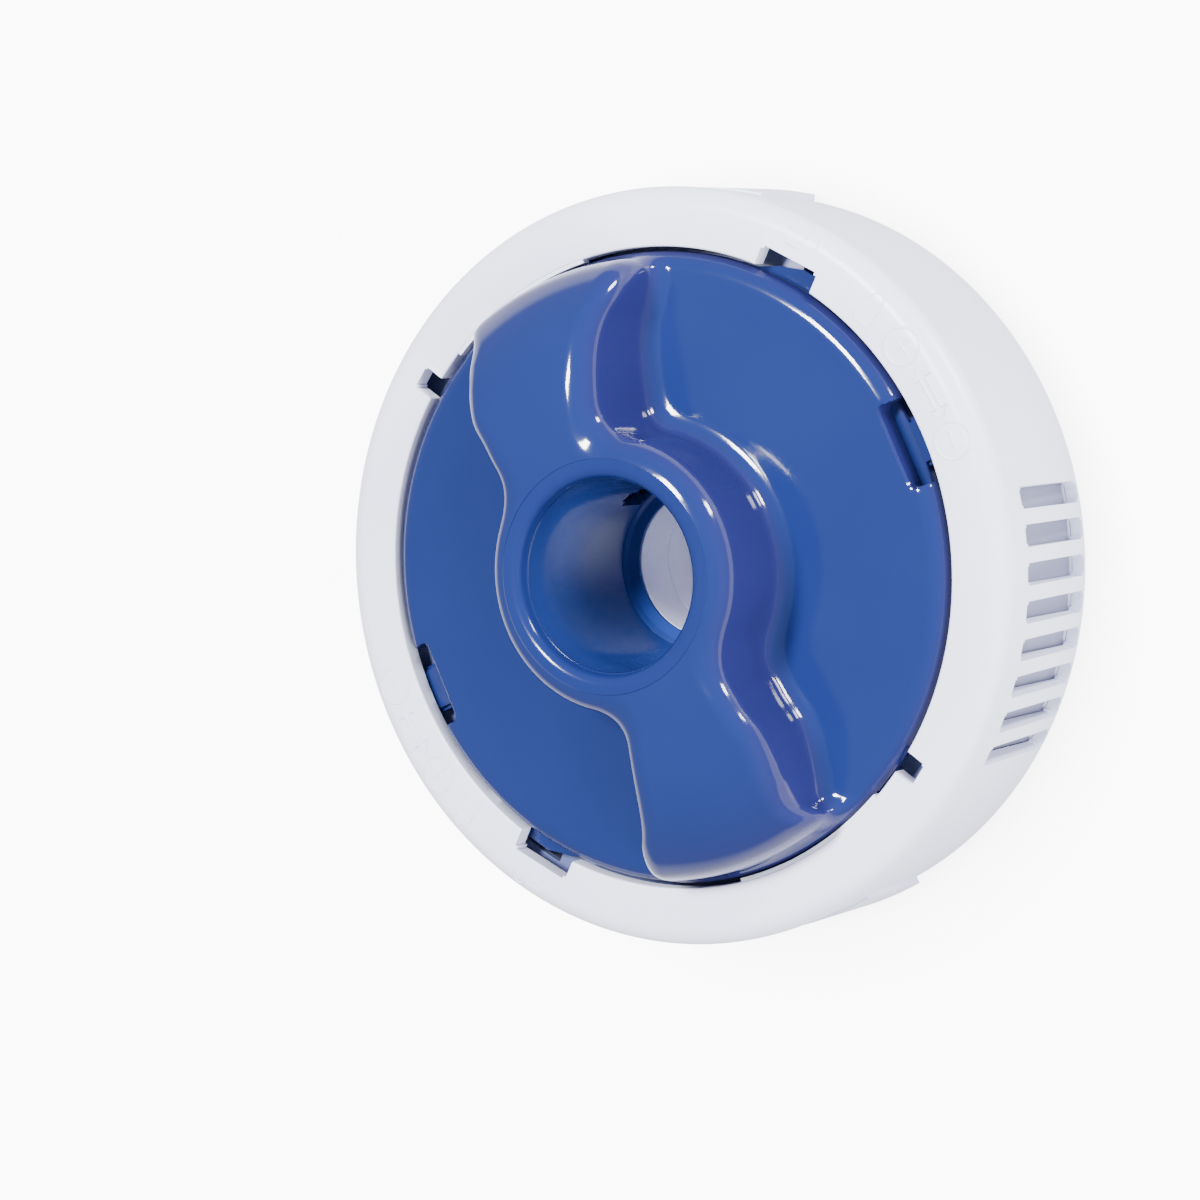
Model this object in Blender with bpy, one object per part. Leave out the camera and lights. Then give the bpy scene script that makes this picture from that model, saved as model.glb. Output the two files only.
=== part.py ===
"""Chlorine tablet dispenser that hangs on a pool return inlet.

The row frame has +Z along the axis of the bore, towards the cap, and its origin on the rear
face. The object lies on its back. Angles run anticlockwise seen from the cap, from +X, which
points at the middle of one bank of vents. Everything repeats after half a turn about Z.
Lengths below are in millimetres and are turned into metres as the meshes are made.
"""
import math

import bmesh
import bpy
import numpy as np
from mathutils import Matrix

MM = 0.001
HALF_TURN = 180.0

# Driving dimensions of the housing
RIM_RADIUS = 82.5
DEPTH = 44.0
REAR_RADIUS = 80.9
RIM_FILLET = 4.5
REAR_FILLET = 2.2
RIM_HOLE_RADIUS = 69.6
RIM_PLATE = 4.0
BARREL_INNER = 78.2
REAR_PLATE = 2.5

# Vents in the barrel, eight to a bank
VENT_COUNT = 8
VENT_PITCH = 5.6
VENT_WIDTH = 4.7
VENT_TOP = 33.7
VENT_BOTTOM = 2.5

# Notches in the rim: where the lugs enter, and the narrow ones
ENTRY_ANGLE = 72.3
ENTRY_WIDTH = 14.6
ENTRY_RADIUS = 73.9
NARROW_ANGLE = 154.2
NARROW_WIDTH = 5.4
NARROW_RADIUS = 74.4

# Cap: the disc, its pockets, the boss and the two swept lobes of the grip
DISC_RADIUS = 68.6
DISC_TOP = 45.0
DISC_BOTTOM = 39.5
DISC_THICKNESS = 2.6
DISC_ROUND = 4.0
POCKET_ANGLE = 33.2
POCKET_WIDTH = 18.9
POCKET_RADIUS = 63.0
GRIP_WALL = 2.6
BOSS_TOP = 68.35
LOBE_TOP = 67.9
LOBE_EDGE = 46.9
LOBE_INNER = 35.0
LOBE_OUTER = 68.48
LOBE_POWER = 2.0
LEADING_DRAFT = 3.0
TRAILING_DRAFT = 2.5
# Foot of each side of a lobe in plan: radius and angle
LEADING_SIDE = [(31, 98.6), (36.6, 100.1), (43.1, 101.0), (49.7, 101.1), (54, 100.5), (58, 99.2), (62.5, 98.3),
                (67.8, 97.8)]
TRAILING_SIDE = [(29, 155), (32, 152.8), (36.5, 150.9), (41, 148.6), (47, 146.7), (52.4, 143.5), (56.8, 140.8),
                 (63.3, 138), (66.5, 140), (68.5, 143)]

# Bore: the tube in the cap, the bush on the hub, and the hub of the rear wall
TUBE_RADIUS = 18.7
TUBE_OUTER = 20.7
TUBE_BOTTOM = 29.2
LIP_RADIUS = 25.1
LIP_TOP = 68.5
MOUTH_RADIUS = 21.0
MOUTH_TOP = 67.4
LEDGE_TOP = 65.2
LEDGE_BOTTOM = 62.2
LEDGE_RADIUS = 21.1
PORT_ANGLE = 135.0
PORT_WIDTH = 6.2
PORT_TOP = 39.0
BORE_RADIUS = 16.0
HUB_RADIUS = 20.6
HUB_TOP = 25.2
SOCKET_RADIUS = 23.5
SOCKET_DEPTH = 13.4
SOCKET_WALL = 27.0
SOCKET_TOP = 15.6
GROOVE_RADIUS = 19.0
GROOVE_Z = (20.8, 23.2)
BUSH_RADIUS = 24.0
BUSH_TOP = 28.9

# Dosing gear: the slotted skirt and the ring of lugs that turns with it
SKIRT_RADIUS = 77.7
SKIRT_WALL = 2.4
SKIRT_TOP = 35.3
FLANGE_RADIUS = 51.5
FLANGE = 1.8
WINDOW_SHIFT = -37.0
WINDOW_HALF = 15.5
WINDOW_Z = (5.0, 32.5)
LUG_RING = (52.0, 66.0)
LUG_RING_Z = (35.6, 39.2)
LUG_REACH = 73.3
LUG_WIDTH = 10.8
LUG_THICKNESS = 3.0
CAM = [(65.0, 84.0), (68.2, 80.5), (70.4, 75.6), (72.1, 70.8), (72.3, 63.0), (65.0, 59.0)]
RELIEF_ANGLES = (57.0, 72.5)
RELIEF = (67.3, 74.6)
KEY_WIDTH = 9.0
KEY_DEPTH = 3.4
KEY_RADIUS = 56.0
KEY_ANGLE = 110.0

# Tray and tablets
TRAY_RADIUS = 74.8
TRAY_Z = (4.0, 6.0)
TABLET_RADIUS = 12.7
TABLET_HEIGHT = 16.0
TABLET_RING = 52.0
TABLET_ANGLES = (42.0, 74.0, 106.0, 138.0)

GAP = 0.3
SEGMENTS = 72
FINE_SEGMENTS = 48


def material(name, colour, roughness):
    mat = bpy.data.materials.new(name)
    mat.use_nodes = True
    shader = mat.node_tree.nodes["Principled BSDF"]
    shader.inputs["Base Color"].default_value = (*colour, 1.0)
    shader.inputs["Roughness"].default_value = roughness
    shader.inputs["Metallic"].default_value = 0.0
    mat.diffuse_color = (*colour, 1.0)
    return mat


WHITE = (0.78, 0.79, 0.83)
BLUE = (0.045, 0.12, 0.40)
BLACK = (0.03, 0.03, 0.035)
CHALK = (0.88, 0.88, 0.84)


def add_object(name, bm, colour, roughness=0.3, parent=None):
    """Turn a bmesh in millimetres into a smooth-shaded object in metres."""
    bmesh.ops.recalc_face_normals(bm, faces=bm.faces)
    bmesh.ops.scale(bm, vec=(MM, MM, MM), verts=bm.verts)
    mesh = bpy.data.meshes.new(name)
    bm.to_mesh(mesh)
    bm.free()
    mesh.shade_smooth()
    mesh.set_sharp_from_angle(angle=math.radians(35))
    obj = bpy.data.objects.new(name, mesh)
    bpy.context.scene.collection.objects.link(obj)
    obj.data.materials.append(material(name, colour, roughness))
    obj.parent = parent
    return obj


def arc(centre, radius, start, end, steps):
    """Points of an arc in the (radius, height) plane, angles in degrees."""
    turns = np.radians(np.linspace(start, end, steps + 1))
    return [(centre[0] + radius * math.cos(a), centre[1] + radius * math.sin(a)) for a in turns]


def turned(profile, segments=FINE_SEGMENTS):
    """Spin a closed outline of (radius, height) points about Z."""
    bm = bmesh.new()
    verts = [bm.verts.new((r, 0, z)) for r, z in profile]
    edges = [bm.edges.new((verts[i - 1], verts[i])) for i in range(len(verts))]
    bmesh.ops.spin(bm, geom=verts + edges, cent=(0, 0, 0), axis=(0, 0, 1), angle=2 * math.pi,
                   steps=segments, use_merge=True)
    bmesh.ops.remove_doubles(bm, verts=bm.verts, dist=0.001)
    return bm


def rectangle(r_in, r_out, z_low, z_high):
    return [(r_out, z_high), (r_out, z_low), (r_in, z_low), (r_in, z_high)]


def add_block(bm, angle, r_range, width, z_range):
    """A box that points outwards at an angle, sized along the radius, across it and in height."""
    size = (r_range[1] - r_range[0], width, z_range[1] - z_range[0])
    centre = ((r_range[0] + r_range[1]) / 2, 0, (z_range[0] + z_range[1]) / 2)
    place = Matrix.Rotation(math.radians(angle), 4, "Z") @ Matrix.Translation(centre)
    bmesh.ops.create_cube(bm, size=1.0, matrix=place @ Matrix.Diagonal((*size, 1.0)))


def add_sector(bm, start, end, r_range, z_range, steps=10):
    """A curved block between two angles."""
    turns = np.linspace(start, end, steps + 1)
    add_prism(bm, [(r_range[1], a) for a in turns] + [(r_range[0], a) for a in reversed(turns)], z_range)


def add_prism(bm, plan, z_range):
    """An upright block over a closed plan of (radius, angle) points."""
    spots = [(r * math.cos(math.radians(a)), r * math.sin(math.radians(a))) for r, a in plan]
    face = bm.faces.new([bm.verts.new((x, y, z_range[0])) for x, y in spots])
    top = bmesh.ops.extrude_face_region(bm, geom=[face])["geom"]
    lifted = [item for item in top if isinstance(item, bmesh.types.BMVert)]
    bmesh.ops.translate(bm, vec=(0, 0, z_range[1] - z_range[0]), verts=lifted)


def both_sides(angle):
    return (angle, angle + HALF_TURN)


def boolean(obj, name, bm, operation="DIFFERENCE"):
    """Cut a bmesh from an object, or join it, with a Boolean modifier."""
    cutter = add_object(name, bm, BLACK)
    cutter.hide_render = True
    cutter.display_type = "WIRE"
    modifier = obj.modifiers.new(name, "BOOLEAN")
    modifier.operation = operation
    modifier.object = cutter
    modifier.solver = "EXACT"


def housing_shell():
    """Rim and barrel in one moulding, open at the rear."""
    outline = arc((RIM_RADIUS - RIM_FILLET, DEPTH - RIM_FILLET), RIM_FILLET, 90, 0, 5)
    outline += arc((REAR_RADIUS - REAR_FILLET, REAR_FILLET), REAR_FILLET, 0, -90, 3)
    outline += [(BARREL_INNER, 0), (BARREL_INNER, DEPTH - RIM_PLATE), (RIM_HOLE_RADIUS, DEPTH - RIM_PLATE)]
    outline += [(RIM_HOLE_RADIUS, DEPTH)]
    shell = add_object("housing_shell", turned(outline, SEGMENTS), WHITE)
    vents = bmesh.new()
    for bank in both_sides(0.0):
        for index in range(VENT_COUNT):
            angle = bank + (index - (VENT_COUNT - 1) / 2) * VENT_PITCH
            add_block(vents, angle, (BARREL_INNER - 4, RIM_RADIUS + 4), VENT_WIDTH, (VENT_BOTTOM, VENT_TOP))
    boolean(shell, "vent_cutter", vents)
    notches = bmesh.new()
    below, above = DEPTH - RIM_PLATE - 1, DEPTH + 1
    for angle in both_sides(ENTRY_ANGLE):
        add_block(notches, angle, (RIM_HOLE_RADIUS - 4, ENTRY_RADIUS), ENTRY_WIDTH, (below, above))
    for angle in both_sides(NARROW_ANGLE):
        add_block(notches, angle, (RIM_HOLE_RADIUS - 4, NARROW_RADIUS), NARROW_WIDTH, (below, above))
    boolean(shell, "notch_cutter", notches)


def rear_wall():
    """Back plate with the hub: a socket for the inlet adapter below, the bore and a seal groove above."""
    outline = [(HUB_RADIUS, HUB_TOP), (HUB_RADIUS, GROOVE_Z[1]), (GROOVE_RADIUS, GROOVE_Z[1])]
    outline += [(GROOVE_RADIUS, GROOVE_Z[0]), (HUB_RADIUS, GROOVE_Z[0]), (HUB_RADIUS, SOCKET_TOP)]
    outline += [(SOCKET_WALL, SOCKET_TOP), (SOCKET_WALL, REAR_PLATE), (BARREL_INNER - 0.4, REAR_PLATE)]
    outline += [(BARREL_INNER - 0.4, 0), (SOCKET_RADIUS, 0), (SOCKET_RADIUS, SOCKET_DEPTH)]
    outline += [(BORE_RADIUS, SOCKET_DEPTH), (BORE_RADIUS, HUB_TOP)]
    wall = add_object("rear_wall", turned(outline), WHITE)
    ribs = bmesh.new()
    for index in range(6):
        add_block(ribs, 30 + index * 60, (SOCKET_WALL - 1, TRAY_RADIUS - 3), 2.4, (1.0, TRAY_Z[0] - GAP))
    boolean(wall, "rib_joiner", ribs, "UNION")


def inlet_adapter():
    """Ring that takes the return fitting, with two slots for a coin in its rear face."""
    outline = rectangle(BORE_RADIUS, SOCKET_RADIUS - GAP, 0.6, SOCKET_DEPTH - 2.0)
    ring = add_object("inlet_adapter", turned(outline), WHITE)
    slots = bmesh.new()
    for angle in both_sides(90.0):
        add_block(slots, angle, (BORE_RADIUS + 1.5, SOCKET_RADIUS - 1.8), 3.0, (-1.0, 3.0))
    boolean(ring, "coin_slot_cutter", slots)
    outline = rectangle(BORE_RADIUS + 0.4, SOCKET_RADIUS - GAP, SOCKET_DEPTH - 1.7, SOCKET_DEPTH - GAP)
    add_object("adapter_gasket", turned(outline), BLACK, 0.6)


def throat_bush():
    """Conical step from the tube's bore to the hub's, with a skirt over the hub and a seat for the washer."""
    seat_radius, seat = TUBE_RADIUS + 1.6, BUSH_TOP - 1.2
    outline = [(seat_radius, BUSH_TOP), (seat_radius, seat), (BUSH_RADIUS, seat), (BUSH_RADIUS, GROOVE_Z[0] - 2)]
    outline += [(HUB_RADIUS + 0.5, GROOVE_Z[0] - 2), (HUB_RADIUS + 0.5, HUB_TOP + GAP), (BORE_RADIUS, HUB_TOP + GAP)]
    outline += [(TUBE_RADIUS, BUSH_TOP)]
    add_object("throat_bush", turned(outline), BLUE)
    middle = ((GROOVE_RADIUS + HUB_RADIUS + 0.5) / 2, sum(GROOVE_Z) / 2)
    add_object("hub_o_ring", turned(arc(middle, 0.75, 0, -315, 7)), BLACK, 0.6)
    outline = rectangle(seat_radius + 0.4, BUSH_RADIUS - 0.4, seat + GAP, BUSH_TOP)
    add_object("tube_seal", turned(outline), BLACK, 0.6)


def throat_tube(turn):
    """Bore of the cap: a flared lip in the boss, a plain tube and a foot that sits on the washer."""
    foot = TUBE_BOTTOM + 1.5
    outline = [(MOUTH_RADIUS, MOUTH_TOP), (MOUTH_RADIUS + 1.5, LIP_TOP - 0.25), (MOUTH_RADIUS + 3.0, LIP_TOP)]
    outline += [(LIP_RADIUS, BOSS_TOP), (LIP_RADIUS, LEDGE_TOP + GAP), (TUBE_OUTER, LEDGE_TOP + GAP)]
    outline += [(TUBE_OUTER, foot), (BUSH_RADIUS - 0.4, foot), (BUSH_RADIUS - 0.4, TUBE_BOTTOM)]
    outline += [(TUBE_RADIUS, TUBE_BOTTOM), (TUBE_RADIUS + 0.4, LEDGE_BOTTOM)]
    tube = add_object("throat_tube", turned(outline), BLUE, 0.2, turn)
    ports = bmesh.new()
    for angle in both_sides(PORT_ANGLE):
        add_block(ports, angle, (TUBE_RADIUS - 4, BUSH_RADIUS + 2), PORT_WIDTH, (TUBE_BOTTOM - 1, PORT_TOP))
    boolean(tube, "port_cutter", ports)
    outline = rectangle(TUBE_OUTER + GAP, LIP_RADIUS - 0.2, LEDGE_BOTTOM - GAP - 2.8, LEDGE_BOTTOM - GAP)
    ring = add_object("tube_retaining_ring", turned(outline), WHITE, 0.3, turn)
    split = bmesh.new()
    add_block(split, 45.0, (TUBE_RADIUS, LIP_RADIUS + 2), 4.0, (LEDGE_BOTTOM - 6, LEDGE_BOTTOM + 2))
    boolean(ring, "split_cutter", split)


def lobe_height(radius):
    """Crown of a lobe: level near the boss, then rounded down to the edge of the disc."""
    t = np.clip((radius - LOBE_INNER) / (LOBE_OUTER - LOBE_INNER), 0, 1)
    return LOBE_EDGE + (LOBE_TOP - LOBE_EDGE) * math.sqrt(1 - t ** LOBE_POWER) - DISC_TOP


def side_angle(side, radius):
    radii, angles = zip(*side)
    return float(np.interp(radius, radii, angles))


def wall_rise(step):
    """How far up a drafted wall is, from 0 to 1, with soft corners at its foot and its top."""
    return float(np.interp(step, (-0.3, 0.0, 0.5, 1.0, 1.35), (0.0, 0.06, 0.5, 0.94, 1.0)))


def lobe_surface(radius, angle, inset):
    """Height of a lobe over the disc, or of the hollow under it, whose walls stand inset further in."""
    height = lobe_height(radius)
    rise = 1.0
    in_from_leading = math.radians(angle - side_angle(LEADING_SIDE, radius)) * radius
    in_from_trailing = math.radians(side_angle(TRAILING_SIDE, radius) - angle) * radius
    for distance, draft in ((in_from_leading, LEADING_DRAFT), (in_from_trailing, TRAILING_DRAFT)):
        rise = min(rise, wall_rise((distance - inset) / (height * math.tan(math.radians(draft)))))
    return height * rise


def boss_surface(radius):
    """Height of the boss over the disc: a foot fillet, a drafted wall and a rounded lip."""
    radii = (26.3, 27.8, 29.0, 29.7, 30.5, 32.5)
    rise = (1.0, 0.975, 0.90, 0.15, 0.05, 0.0)
    return (BOSS_TOP - DISC_TOP) * float(np.interp(radius, radii, rise))


def cap_columns(radius):
    """Angles of the grid's columns over half a turn: they follow the sides of a lobe."""
    height = lobe_height(radius)
    leading = side_angle(LEADING_SIDE, radius)
    trailing = side_angle(TRAILING_SIDE, radius)
    steps = (-0.3, 0.0, 0.5, 1.0, 1.35)
    widths = [height * math.tan(math.radians(draft)) for draft in (LEADING_DRAFT, TRAILING_DRAFT)]
    front = [leading + math.degrees(step * widths[0] / radius) for step in steps]
    back = [trailing - math.degrees(step * widths[1] / radius) for step in reversed(steps)]
    middle = list(np.linspace(front[-1], back[0], 5)[1:-1])
    free = list(np.linspace(back[-1], front[0] + HALF_TURN, 20)[1:-1])
    return front + middle + back + free


def cap_rings():
    """Rings of the cap as (radius, rule for the height), from the disc's lower edge over the top and back."""
    def over(radius, angle):
        return DISC_TOP + max(boss_surface(radius), lobe_surface(radius, angle, 0.0))

    def shoulder(radius, angle):
        over_edge = radius - (DISC_RADIUS - DISC_ROUND)
        drop = DISC_ROUND - math.sqrt(DISC_ROUND ** 2 - over_edge ** 2)
        return max(DISC_TOP - drop, DISC_TOP - 2.6 + 0.85 * lobe_surface(radius, angle, 0.0))

    def under(radius, angle):
        hollow = max(boss_surface(radius + GRIP_WALL), lobe_surface(radius, angle, GRIP_WALL))
        return min(LEDGE_BOTTOM, DISC_TOP + hollow - DISC_THICKNESS)

    def level(height):
        return lambda radius, angle: height

    rings = [(DISC_RADIUS, level(DISC_BOTTOM)), (DISC_RADIUS, level(DISC_TOP - DISC_ROUND))]
    rings += [(r, shoulder) for r in (68.2, 67.2)]
    rings += [(r, over) for r in (64.5, 61.5, 57, 52, 46.5, 41, 36, 34, 32.5, 30.5, 29.7, 29, 27.8, 26.3)]
    rings += [(LIP_RADIUS + GAP, level(LEDGE_TOP)), (LEDGE_RADIUS, level(LEDGE_TOP))]
    rings += [(LEDGE_RADIUS, level(LEDGE_BOTTOM))]
    rings += [(r, under) for r in (24.2, 26.4, 27.2, 29.9, 33, 38, 43.5, 49, 55, 60, 63.5)]
    rings += [(64.2, level(DISC_BOTTOM))]
    return rings


def cap(turn):
    """Disc with the grip: two lobes swept from a boss, hollow below, with a pocket over each lug."""
    bm = bmesh.new()
    rows = []
    for radius, height in cap_rings():
        angles = cap_columns(radius)
        row = []
        for half in (0.0, HALF_TURN):
            for angle in angles:
                turn_by = math.radians(angle + half)
                place = (radius * math.cos(turn_by), radius * math.sin(turn_by), height(radius, angle))
                row.append(bm.verts.new(place))
        rows.append(row)
    count = len(rows[0])
    for i, row in enumerate(rows):
        nearer = rows[(i + 1) % len(rows)]
        for j in range(count):
            k = (j + 1) % count
            bm.faces.new((row[j], row[k], nearer[k], nearer[j]))
    bmesh.ops.triangulate(bm, faces=bm.faces, quad_method="FIXED")
    disc = add_object("cap", bm, BLUE, 0.2, turn)
    pockets = bmesh.new()
    for angle in both_sides(POCKET_ANGLE):
        add_block(pockets, angle, (POCKET_RADIUS, DISC_RADIUS + 3), POCKET_WIDTH, (DISC_BOTTOM - 3, DISC_TOP + 3))
    boolean(disc, "pocket_cutter", pockets)


def dosing_gear(turn):
    """Skirt that opens or shuts the vents, and the keyed ring with the two lugs."""
    inner = SKIRT_RADIUS - SKIRT_WALL
    outline = [(SKIRT_RADIUS, SKIRT_TOP), (SKIRT_RADIUS, REAR_PLATE + GAP), (inner, REAR_PLATE + GAP)]
    outline += [(inner, SKIRT_TOP - FLANGE), (FLANGE_RADIUS, SKIRT_TOP - FLANGE), (FLANGE_RADIUS, SKIRT_TOP)]
    skirt = add_object("dosing_ring", turned(outline, SEGMENTS), WHITE, 0.3, turn)
    cuts = bmesh.new()
    for centre in both_sides(WINDOW_SHIFT):
        add_sector(cuts, centre - WINDOW_HALF, centre + WINDOW_HALF, (inner - 3, SKIRT_RADIUS + 3), WINDOW_Z)
    keyway = (SKIRT_TOP - FLANGE - 1, SKIRT_TOP + 1)
    for angle in both_sides(KEY_ANGLE):
        add_block(cuts, angle, (FLANGE_RADIUS - 3, KEY_RADIUS + 0.5), KEY_WIDTH + 0.8, keyway)
    for half in (0, HALF_TURN):
        add_sector(cuts, RELIEF_ANGLES[0] + half, RELIEF_ANGLES[1] + half, RELIEF, keyway)
    boolean(skirt, "window_cutter", cuts)

    ring = add_object("bayonet_ring", turned(rectangle(*LUG_RING, *LUG_RING_Z)), BLUE, 0.2, turn)
    blocks = bmesh.new()
    for angle in both_sides(POCKET_ANGLE):
        add_block(blocks, angle, (LUG_RING[1] - 2, LUG_REACH), LUG_WIDTH, (LUG_RING_Z[1] - LUG_THICKNESS,
                                                                            LUG_RING_Z[1] - 0.1))
    for angle in both_sides(KEY_ANGLE):
        add_block(blocks, angle, (LUG_RING[0] + 0.2, KEY_RADIUS), KEY_WIDTH, (LUG_RING_Z[0] - KEY_DEPTH,
                                                                              LUG_RING_Z[0] + 1))
    for half in (0, HALF_TURN):
        plan = [(r, angle + half) for r, angle in reversed(CAM)]
        add_prism(blocks, plan, (LUG_RING_Z[1] - LUG_THICKNESS, LUG_RING_Z[1] - 0.1))
    boolean(ring, "lug_joiner", blocks, "UNION")


def tablet_tray():
    """Perforated floor that keeps the tablets in the water path."""
    tray = add_object("tablet_tray", turned(rectangle(SOCKET_WALL + 0.5, TRAY_RADIUS, *TRAY_Z)), WHITE)
    slots = bmesh.new()
    for index in range(20):
        add_block(slots, 9 + index * 18, (54, 70), 4.0, (TRAY_Z[0] - 1, TRAY_Z[1] + 1))
    for index in range(12):
        add_block(slots, 15 + index * 30, (34, 48), 4.0, (TRAY_Z[0] - 1, TRAY_Z[1] + 1))
    boolean(tray, "tray_slot_cutter", slots)


def tablets():
    """One-inch tablets in two arcs on the tray, clear of the vents."""
    number = 0
    for half in (0.0, HALF_TURN):
        for angle in TABLET_ANGLES:
            number += 1
            bm = bmesh.new()
            bmesh.ops.create_cone(bm, cap_ends=True, segments=24, radius1=TABLET_RADIUS,
                                  radius2=TABLET_RADIUS, depth=TABLET_HEIGHT)
            tablet = add_object(f"chlorine_tablet_{number}", bm, CHALK, 0.8)
            turn_by = math.radians(angle + half)
            height = TRAY_Z[1] + GAP + TABLET_HEIGHT / 2
            tablet.location = (TABLET_RING * math.cos(turn_by) * MM, TABLET_RING * math.sin(turn_by) * MM,
                               height * MM)
            edge = tablet.modifiers.new("rounded_edge", "BEVEL")
            edge.width = 1.6 * MM
            edge.segments = 2


def main():
    for obj in list(bpy.data.objects):
        bpy.data.objects.remove(obj)
    housing_shell()
    rear_wall()
    inlet_adapter()
    throat_bush()
    tablet_tray()
    tablets()
    turn = bpy.data.objects.new("cap_turn_axis", None)
    bpy.context.scene.collection.objects.link(turn)
    dosing_gear(turn)
    cap(turn)
    throat_tube(turn)


main()
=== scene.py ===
"""Looks of the chlorine dispenser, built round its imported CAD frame.

Row frame: +Z along the bore towards the cap, +X at the middle of one bank of vents, origin on the
rear face. Lengths here are in millimetres and become metres where a mesh is made. Angles are in
degrees, anticlockwise seen from the cap. The object repeats after half a turn about Z.
"""
import math

import bmesh
import bpy
import numpy as np
from mathutils import Matrix, Vector


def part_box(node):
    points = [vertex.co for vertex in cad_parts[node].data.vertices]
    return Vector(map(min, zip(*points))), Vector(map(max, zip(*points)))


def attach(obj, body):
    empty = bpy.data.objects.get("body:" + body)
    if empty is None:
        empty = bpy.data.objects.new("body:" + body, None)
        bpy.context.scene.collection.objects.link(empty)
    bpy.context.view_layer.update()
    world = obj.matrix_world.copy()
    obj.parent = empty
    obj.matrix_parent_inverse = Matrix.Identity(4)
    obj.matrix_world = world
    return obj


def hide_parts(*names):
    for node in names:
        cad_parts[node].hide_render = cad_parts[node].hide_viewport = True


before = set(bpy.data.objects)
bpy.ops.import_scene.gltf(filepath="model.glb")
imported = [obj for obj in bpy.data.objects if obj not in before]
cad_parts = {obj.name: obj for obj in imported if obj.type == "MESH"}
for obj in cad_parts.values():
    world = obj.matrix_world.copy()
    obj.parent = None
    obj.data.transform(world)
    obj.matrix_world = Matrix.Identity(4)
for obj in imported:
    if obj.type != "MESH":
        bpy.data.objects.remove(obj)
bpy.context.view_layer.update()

MM = 0.001
HALF_TURN = 180.0


def node_mm(name):
    """Lowest and highest corner of a CAD node in millimetres."""
    low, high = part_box(name)
    return low / MM, high / MM


# Main sizes, read from the frame
SHELL_HIGH = node_mm("housing_shell")[1]
RIM_RADIUS, DEPTH = SHELL_HIGH.x, SHELL_HIGH.z
DISC_RADIUS = 68.6
DISC_BOTTOM = node_mm("cap")[0].z
DISC_TOP = DISC_BOTTOM + 5.5
TUBE_LOW, TUBE_HIGH = node_mm("throat_tube")
LIP_TOP = TUBE_HIGH.z
LIP_RADIUS = TUBE_HIGH.x

# Housing
REAR_RADIUS = 80.9
RIM_FILLET = 4.5
REAR_FILLET = 2.2
RIM_HOLE_RADIUS = 69.6
RIM_PLATE = 4.0
BARREL_INNER = 78.2
REAR_PLATE = 2.5
VENT_COUNT, VENT_PITCH, VENT_WIDTH = 8, 5.6, 4.7
VENT_Z = (2.5, 33.7)
ENTRY_ANGLE, ENTRY_WIDTH, ENTRY_RADIUS = 72.3, 14.6, 73.9
NARROW_ANGLE, NARROW_WIDTH, NARROW_RADIUS = 154.2, 5.4, 74.4

# Grip of the cap; each side is a list of (radius, angle)
POCKET_ANGLE, POCKET_WIDTH, POCKET_RADIUS = 33.2, 18.9, 63.0
GRIP_WALL, HOLLOW_SHOULDER, HOLLOW_REACH = 2.6, 26.0, 63.0
BOSS_RADIUS = 29.8
BOSS_DRAFT, LEADING_DRAFT, TRAILING_DRAFT = 0.5, 5.0, 0.5
LOBE_EDGE = 46.9
LOBE_INNER = 35.0
LOBE_OUTER = 68.48
LOBE_POWER = 2.0
LEADING_SIDE = [(22, 98.5), (31, 99), (36.6, 100.3), (43.1, 101.1), (49.7, 101.2), (54, 100.6), (58, 99.3),
                (62.5, 98.4), (67.8, 98.0), (72, 97.8)]
TRAILING_SIDE = [(22, 159), (32, 152.5), (36.5, 150.4), (41, 148.2), (47, 146.4), (52.4, 143.3),
                 (56.8, 140.6), (63.3, 137.9), (66.5, 139.9), (68.5, 143.1), (72, 148)]
CREST_RADIUS, CREST_SHARPER = 5.6, 0.9
BOSS_BLEND, FOOT_FILLET, EDGE_RADIUS = 7.5, 4.0, 4.0
POCKET_CORNER, POCKET_EDGE = 1.3, 0.45
CROWN_DROP, LEAST_SLOPE = 0.05, 0.045
COARSE_CELL, FINE_CELL, SETTLE_ROUNDS = 1.1, 0.7, 7

# Bore
TUBE_RADIUS, TUBE_OUTER = 18.7, 20.7
TUBE_BOTTOM = TUBE_LOW.z
MOUTH_RADIUS = 21.0
LEDGE_Z = (62.2, 65.2)
LEDGE_RADIUS = 21.1
PORT_ANGLE, PORT_WIDTH, PORT_TOP = 135.0, 6.2, 39.0
BORE_RADIUS, HUB_RADIUS, HUB_TOP = 16.0, 20.6, 25.2
SOCKET_RADIUS, SOCKET_DEPTH, SOCKET_WALL, SOCKET_TOP = 23.5, 13.4, 27.0, 15.6
GROOVE_RADIUS, GROOVE_Z = 19.0, (20.8, 23.2)
BUSH_RADIUS, BUSH_TOP = 24.0, 28.9

# Dosing gear, tray and tablets
SKIRT_RADIUS, SKIRT_WALL, SKIRT_TOP = 77.7, 2.4, 35.3
FLANGE_RADIUS, FLANGE = 51.5, 1.8
WINDOW_SHIFT, WINDOW_HALF, WINDOW_Z = -37.0, 15.5, (5.0, 32.5)
LUG_RING, LUG_RING_Z = (52.0, 66.0), (35.6, 39.2)
LUG_REACH, LUG_WIDTH, LUG_THICKNESS = 73.3, 10.8, 3.0
CAM = [(65.5, 84.0), (68.2, 80.5), (70.4, 75.6), (72.1, 70.8), (72.3, 63.0), (65.5, 59.0)]
RELIEF_ANGLES, RELIEF = (57.0, 72.5), (67.3, 74.6)
KEY_WIDTH, KEY_DEPTH, KEY_RADIUS, KEY_ANGLE = 9.0, 3.4, 56.0, 110.0
TRAY_RADIUS, TRAY_Z = 74.8, (4.0, 6.0)
TABLET_RADIUS, TABLET_HEIGHT, TABLET_RING = 12.7, 16.0, 52.0
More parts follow.
